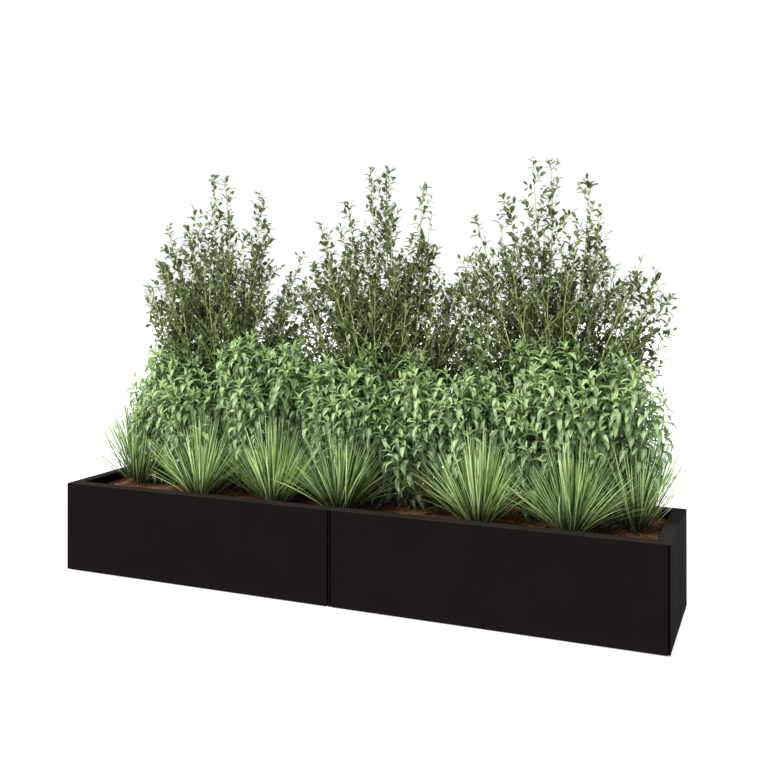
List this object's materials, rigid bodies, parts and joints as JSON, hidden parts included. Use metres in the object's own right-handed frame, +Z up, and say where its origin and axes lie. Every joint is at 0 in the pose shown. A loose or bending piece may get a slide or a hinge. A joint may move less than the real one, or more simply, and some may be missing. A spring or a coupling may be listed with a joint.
{
  "type": "planter box",
  "caption": "Long low planter box of folded, powder-coated sheet panels with an inward rim, on levelling feet, filled with growing medium and planted with grasses and shrubs.",
  "frame": {"origin": "on the ground under the middle of the box, midway between the ends and between the front and rear faces", "axes": "+Z up, +X along the length of the box towards its right-hand end as seen from the front, -Y out of the front"},
  "size_m": [3, 0.77, 2.08],
  "materials": {
    "powder_coat": "matte",
    "zinc": "satin",
    "foot_steel": "satin",
    "clay_granules": "matte",
    "fleece": "matte",
    "growing_medium": "matte",
    "dark_foliage": "satin",
    "fresh_foliage": "satin",
    "grass": "satin"
  },
  "bodies": {
    "planter": {"front_panel_left": "powder_coat", "front_panel_right": "powder_coat", "rear_panel_left": "powder_coat", "rear_panel_right": "powder_coat", "end_panel_left": "powder_coat", "end_panel_right": "powder_coat", "joint_bar_front": "powder_coat", "joint_bar_rear": "powder_coat", "seam_bolt_front_lower": "zinc", "seam_bolt_front_upper": "zinc", "seam_bolt_rear_lower": "zinc", "seam_bolt_rear_upper": "zinc", "corner_post_front_left": "powder_coat", "corner_post_front_right": "powder_coat", "corner_post_rear_left": "powder_coat", "corner_post_rear_right": "powder_coat", "corner_bolt_front_left_lower": "zinc", "corner_bolt_front_left_upper": "zinc", "corner_bolt_front_right_lower": "zinc", "corner_bolt_front_right_upper": "zinc", "corner_bolt_rear_left_lower": "zinc", "corner_bolt_rear_left_upper": "zinc", "corner_bolt_rear_right_lower": "zinc", "corner_bolt_rear_right_upper": "zinc", "bearer_1": "zinc", "bearer_2": "zinc", "bearer_3": "zinc", "bearer_4": "zinc", "base_tray_left": "zinc", "base_tray_right": "zinc", "cross_tie_left": "zinc", "cross_tie_middle": "zinc", "cross_tie_right": "zinc", "drainage_granules_left": "clay_granules", "drainage_granules_right": "clay_granules", "filter_fleece": "fleece", "growing_medium": "growing_medium", "tall_shrub_1": "dark_foliage", "tall_shrub_2": "dark_foliage", "tall_shrub_3": "dark_foliage", "leafy_shrub_1": "fresh_foliage", "leafy_shrub_2": "fresh_foliage", "leafy_shrub_3": "fresh_foliage", "leafy_shrub_4": "fresh_foliage", "leafy_shrub_5": "fresh_foliage", "grass_tuft_1": "grass", "grass_tuft_2": "grass", "grass_tuft_3": "grass", "grass_tuft_4": "grass", "grass_tuft_5": "grass", "grass_tuft_6": "grass", "grass_tuft_7": "grass"},
    "foot_1_front_body": {"foot_1_front": "foot_steel"},
    "foot_1_rear_body": {"foot_1_rear": "foot_steel"},
    "foot_2_front_body": {"foot_2_front": "foot_steel"},
    "foot_2_rear_body": {"foot_2_rear": "foot_steel"},
    "foot_3_front_body": {"foot_3_front": "foot_steel"},
    "foot_3_rear_body": {"foot_3_rear": "foot_steel"},
    "foot_4_front_body": {"foot_4_front": "foot_steel"},
    "foot_4_rear_body": {"foot_4_rear": "foot_steel"}
  },
  "joints": [
    {"name": "foot_1_front_level", "type": "slide", "parent": "planter", "child": "foot_1_front_body", "axis": [0, 0, -1], "range_m": [0, 0.015]},
    {"name": "foot_1_rear_level", "type": "slide", "parent": "planter", "child": "foot_1_rear_body", "axis": [0, 0, -1], "range_m": [0, 0.015]},
    {"name": "foot_2_front_level", "type": "slide", "parent": "planter", "child": "foot_2_front_body", "axis": [0, 0, -1], "range_m": [0, 0.015]},
    {"name": "foot_2_rear_level", "type": "slide", "parent": "planter", "child": "foot_2_rear_body", "axis": [0, 0, -1], "range_m": [0, 0.015]},
    {"name": "foot_3_front_level", "type": "slide", "parent": "planter", "child": "foot_3_front_body", "axis": [0, 0, -1], "range_m": [0, 0.015]},
    {"name": "foot_3_rear_level", "type": "slide", "parent": "planter", "child": "foot_3_rear_body", "axis": [0, 0, -1], "range_m": [0, 0.015]},
    {"name": "foot_4_front_level", "type": "slide", "parent": "planter", "child": "foot_4_front_body", "axis": [0, 0, -1], "range_m": [0, 0.015]},
    {"name": "foot_4_rear_level", "type": "slide", "parent": "planter", "child": "foot_4_rear_body", "axis": [0, 0, -1], "range_m": [0, 0.015]}
  ]
}
